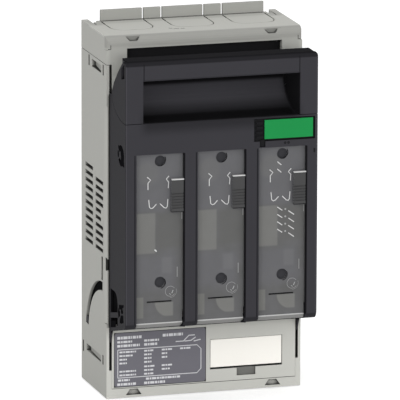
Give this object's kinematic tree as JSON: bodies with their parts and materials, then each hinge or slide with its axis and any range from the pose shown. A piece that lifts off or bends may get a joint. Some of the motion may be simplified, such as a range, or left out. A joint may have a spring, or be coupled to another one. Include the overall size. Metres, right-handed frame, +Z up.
{
  "type": "fuse switch disconnector",
  "caption": "Upright fuse switch disconnector: grey base with terminals, and a dark hinged lid with pull handle and sliding windows over the fuse bays.",
  "frame": {"origin": "centre of the rear mounting face of the base", "axes": "+Z up, towards the handle end; +Y out of the rear mounting face; the lid faces -Y"},
  "size_m": [0.106, 0.0799, 0.1986],
  "materials": {
    "grey_moulding": "fine-grained light grey moulding",
    "anthracite_moulding": "satin anthracite moulding",
    "black_moulding": "black moulding",
    "smoked_window": "smoked clear plastic",
    "rating_plate": "grey printed film",
    "white_card": "matt white card",
    "green_plate": "satin green plate",
    "silvered_copper": "silver-plated copper",
    "zinc_steel": "zinc-plated steel",
    "chute_fibre": "fibre cheeks with steel plates"
  },
  "bodies": {
    "base": {"base_housing": "grey_moulding", "upper_terminal_cover": "grey_moulding", "lower_terminal_cover": "grey_moulding", "upper_terminal_guard": "black_moulding", "rating_plate": "rating_plate", "label_card": "white_card", "hinge_pin_left": "zinc_steel", "hinge_pin_right": "zinc_steel", "arc_chute_1": "chute_fibre", "arc_chute_2": "chute_fibre", "arc_chute_3": "chute_fibre", "lower_contact_1": "silvered_copper", "lower_contact_2": "silvered_copper", "lower_contact_3": "silvered_copper", "upper_contact_1": "silvered_copper", "upper_contact_2": "silvered_copper", "upper_contact_3": "silvered_copper", "lower_jaw_spring_1": "zinc_steel", "lower_jaw_spring_2": "zinc_steel", "lower_jaw_spring_3": "zinc_steel", "upper_jaw_spring_1": "zinc_steel", "upper_jaw_spring_2": "zinc_steel", "upper_jaw_spring_3": "zinc_steel", "lower_terminal_screw_1": "zinc_steel", "lower_terminal_screw_2": "zinc_steel", "lower_terminal_screw_3": "zinc_steel", "upper_terminal_screw_1": "zinc_steel", "upper_terminal_screw_2": "zinc_steel", "upper_terminal_screw_3": "zinc_steel", "lower_terminal_nut_1": "zinc_steel", "lower_terminal_nut_2": "zinc_steel", "lower_terminal_nut_3": "zinc_steel", "upper_terminal_nut_1": "zinc_steel", "upper_terminal_nut_2": "zinc_steel", "upper_terminal_nut_3": "zinc_steel"},
    "lid": {"lid_frame": "anthracite_moulding", "handle": "anthracite_moulding", "accent_holder": "black_moulding", "accent_plate": "green_plate", "fuse_carrier_1": "black_moulding", "fuse_carrier_2": "black_moulding", "fuse_carrier_3": "black_moulding", "lower_fuse_claw_1": "zinc_steel", "lower_fuse_claw_2": "zinc_steel", "lower_fuse_claw_3": "zinc_steel", "upper_fuse_claw_1": "zinc_steel", "upper_fuse_claw_2": "zinc_steel", "upper_fuse_claw_3": "zinc_steel"},
    "window_1_body": {"window_1": "smoked_window"},
    "window_2_body": {"window_2": "smoked_window"},
    "window_3_body": {"window_3": "smoked_window"}
  },
  "joints": [
    {"name": "lid_hinge", "type": "hinge", "parent": "base", "child": "lid", "pos_m": [0, -0.0405, -0.06735], "axis": [1, 0, 0], "range_deg": [0, 75]},
    {"name": "window_slide_1", "type": "slide", "parent": "lid", "child": "window_1_body", "axis": [0, 0, 1], "range_m": [0, 0.006]},
    {"name": "window_slide_2", "type": "slide", "parent": "lid", "child": "window_2_body", "axis": [0, 0, 1], "range_m": [0, 0.006]},
    {"name": "window_slide_3", "type": "slide", "parent": "lid", "child": "window_3_body", "axis": [0, 0, 1], "range_m": [0, 0.006]}
  ]
}
